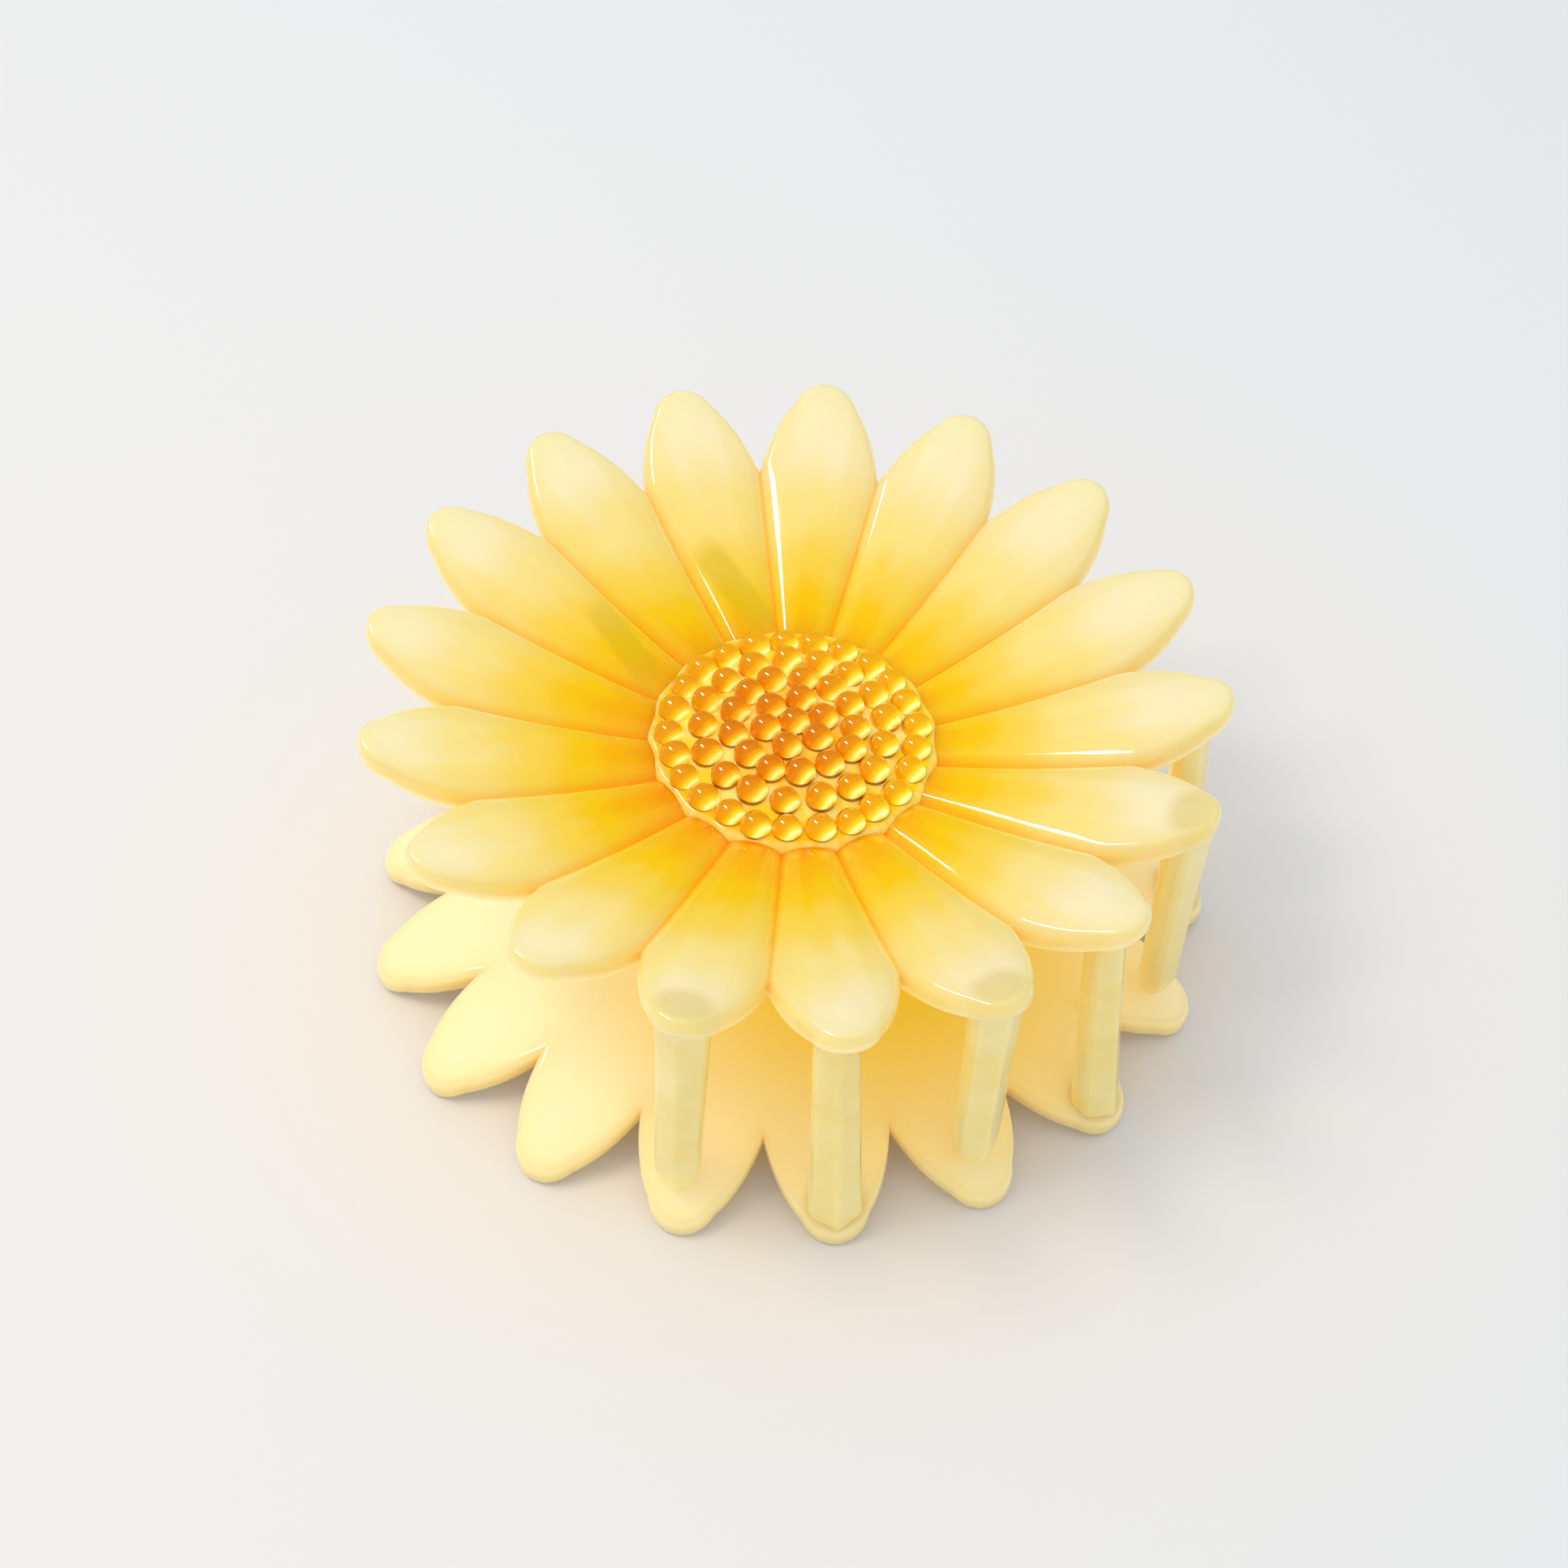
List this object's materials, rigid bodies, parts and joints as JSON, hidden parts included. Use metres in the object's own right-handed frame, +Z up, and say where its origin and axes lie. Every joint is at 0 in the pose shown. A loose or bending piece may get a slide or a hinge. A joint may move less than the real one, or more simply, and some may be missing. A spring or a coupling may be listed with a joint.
{
  "type": "flower hair clip",
  "caption": "Sprung claw hair clip made of two dished daisy flowers with beaded domes, hinged on a steel pin, with interlocking teeth along one side.",
  "frame": {"origin": "middle of the clip's bounding box in plan, at the level it rests on: the petal tips of the back flower", "axes": "+Z up out of the front flower when the closed clip lies on its back flower, X along the hinge pin, -Y towards the teeth, +Y towards the finger petals"},
  "size_m": [0.0796, 0.0804, 0.0357],
  "materials": {
    "petal_plastic": "translucent pale yellow, deep yellow to orange towards the middle, polished",
    "tooth_plastic": "translucent pale green-yellow, polished",
    "ear_plastic": "translucent pale yellow, polished",
    "dome_plastic": "clear amber, glossy",
    "steel": "bright drawn wire"
  },
  "bodies": {
    "back_half": {"back_flower": "petal_plastic", "back_dome": "dome_plastic", "back_tooth_left": "tooth_plastic", "back_tooth_middle": "tooth_plastic", "back_tooth_right": "tooth_plastic", "back_ear_left": "ear_plastic", "back_ear_right": "ear_plastic", "hinge_pin": "steel", "spring": "steel"},
    "front_half": {"front_flower": "petal_plastic", "front_dome": "dome_plastic", "front_tooth_left": "tooth_plastic", "front_tooth_middle": "tooth_plastic", "front_tooth_right": "tooth_plastic", "front_ear_left": "ear_plastic", "front_ear_right": "ear_plastic"}
  },
  "joints": [
    {"name": "jaw_hinge", "type": "hinge", "parent": "back_half", "child": "front_half", "pos_m": [0, 0.01742, 0.01699], "axis": [-1, 0, 0], "range_deg": [0, 60], "stiffness_Nm_per_rad": 0.08, "springref_deg": -80.21, "deforming": ["spring"]}
  ]
}
